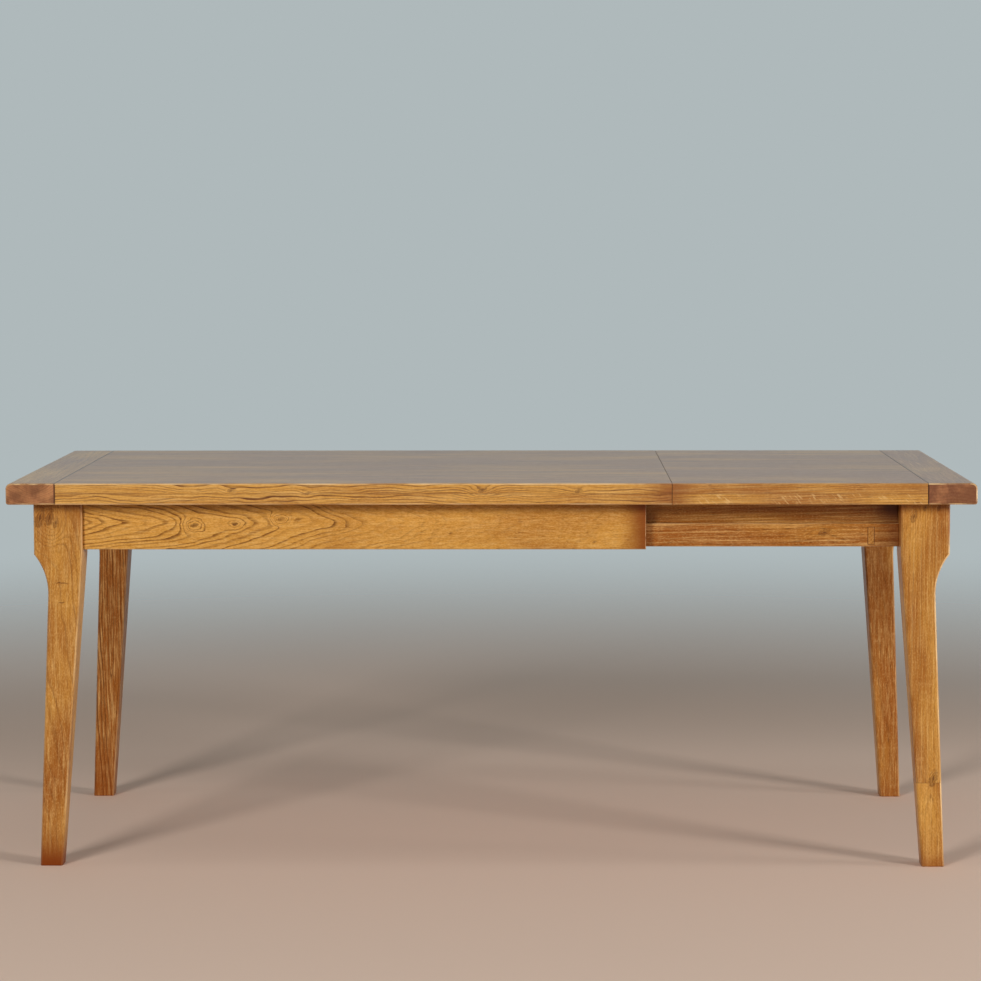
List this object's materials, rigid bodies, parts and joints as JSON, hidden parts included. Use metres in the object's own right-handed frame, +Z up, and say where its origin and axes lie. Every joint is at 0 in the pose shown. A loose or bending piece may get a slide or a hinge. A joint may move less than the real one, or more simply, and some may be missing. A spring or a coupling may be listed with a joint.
{
  "type": "extending dining table",
  "caption": "Oak extending dining table: tapered coved legs, board top with end boards, one end that pulls out on wooden runners, and a loose drop-in leaf.",
  "frame": {"origin": "on the floor under the middle of the open table", "axes": "+X towards the pull-out end, -Y the front long side, +Z up"},
  "size_m": [1.9, 0.9, 0.766],
  "materials": {
    "oak_top": "satin lacquered oak",
    "oak_end_board": "satin lacquered oak, darker end grain",
    "oak_frame": "satin lacquered oak",
    "oak_runner": "waxed oak",
    "oak_inner": "unfinished oak",
    "screw_steel": "zinc plated"
  },
  "bodies": {
    "fixed_frame": {"main_top_board_1": "oak_top", "main_top_board_2": "oak_top", "main_top_board_3": "oak_top", "main_top_board_4": "oak_top", "main_top_board_5": "oak_top", "main_top_board_6": "oak_top", "left_end_board": "oak_end_board", "front_left_leg": "oak_frame", "back_left_leg": "oak_frame", "front_apron": "oak_frame", "back_apron": "oak_frame", "left_end_apron": "oak_frame", "front_guide_cleat": "oak_inner", "back_guide_cleat": "oak_inner", "front_stop_block": "oak_inner", "back_stop_block": "oak_inner", "top_batten_left": "oak_inner", "top_batten_middle": "oak_inner", "top_batten_right": "oak_inner", "front_left_corner_block": "oak_inner", "back_left_corner_block": "oak_inner", "apron_dowels": "oak_inner", "top_batten_screws": "screw_steel"},
    "pull_out_end": {"front_right_leg": "oak_frame", "back_right_leg": "oak_frame", "right_end_board": "oak_end_board", "right_end_apron": "oak_frame", "front_runner": "oak_runner", "back_runner": "oak_runner", "outer_cross_rail": "oak_runner", "inner_cross_rail": "oak_inner", "front_keeper": "oak_inner", "back_keeper": "oak_inner", "front_right_corner_block": "oak_inner", "back_right_corner_block": "oak_inner", "end_board_dowels": "oak_top"},
    "leaf": {"leaf_board_1": "oak_top", "leaf_board_2": "oak_top", "leaf_board_3": "oak_top", "leaf_board_4": "oak_top", "leaf_board_5": "oak_top", "leaf_board_6": "oak_top", "leaf_batten_left": "oak_inner", "leaf_batten_right": "oak_inner", "leaf_batten_screws": "screw_steel"}
  },
  "joints": [
    {"name": "end_slide", "type": "slide", "parent": "fixed_frame", "child": "pull_out_end", "axis": [1, 0, 0], "range_m": [-0.4995, 0]},
    {"name": "leaf_lift", "type": "slide", "parent": "fixed_frame", "child": "leaf", "axis": [0, 0, 1], "range_m": [0, 0.75]}
  ],
  "couplings": [
    {"joint": "leaf_lift", "follows": "end_slide", "ratio": -1.5}
  ]
}
